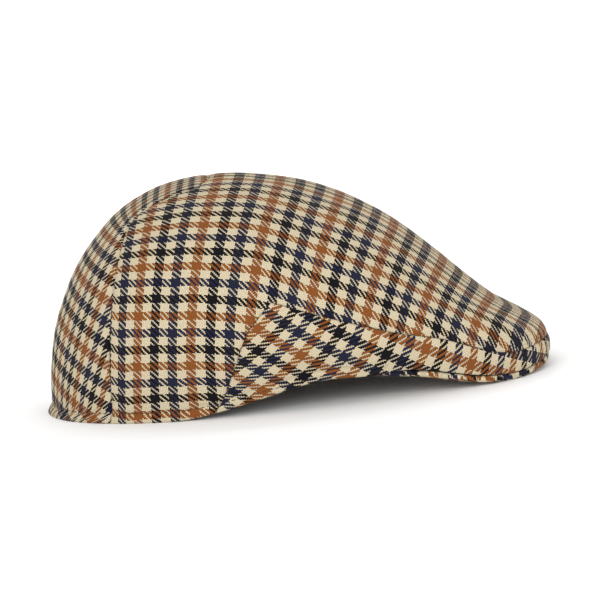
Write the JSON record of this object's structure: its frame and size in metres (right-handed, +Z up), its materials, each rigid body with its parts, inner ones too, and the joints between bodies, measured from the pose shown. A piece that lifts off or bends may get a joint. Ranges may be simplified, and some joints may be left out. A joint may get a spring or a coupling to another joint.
{
  "type": "flat cap",
  "caption": "Duckbill flat cap in checked wool: domed crown with a back panel, a band round the sides and front, and a covered peak; open underneath for the head.",
  "frame": {"origin": "on the floor under the middle of the cap's box, as it lies on its rear hem and the peak's rim", "axes": "+X where the peak points, +Y the wearer's left, +Z up"},
  "size_m": [0.2698, 0.182, 0.1167],
  "materials": {
    "crown_cloth": "cream, brown, navy and black check, twill wool with a short nap",
    "back_cloth": "the same check, its stripes running up the back",
    "band_cloth": "the same check, laid on the slant round the band",
    "peak_cloth": "the same check, drawn over the peak board"
  },
  "bodies": {
    "root": {"top_panel": "crown_cloth", "back_panel": "back_cloth", "front_band": "band_cloth", "peak": "peak_cloth"}
  },
  "joints": []
}
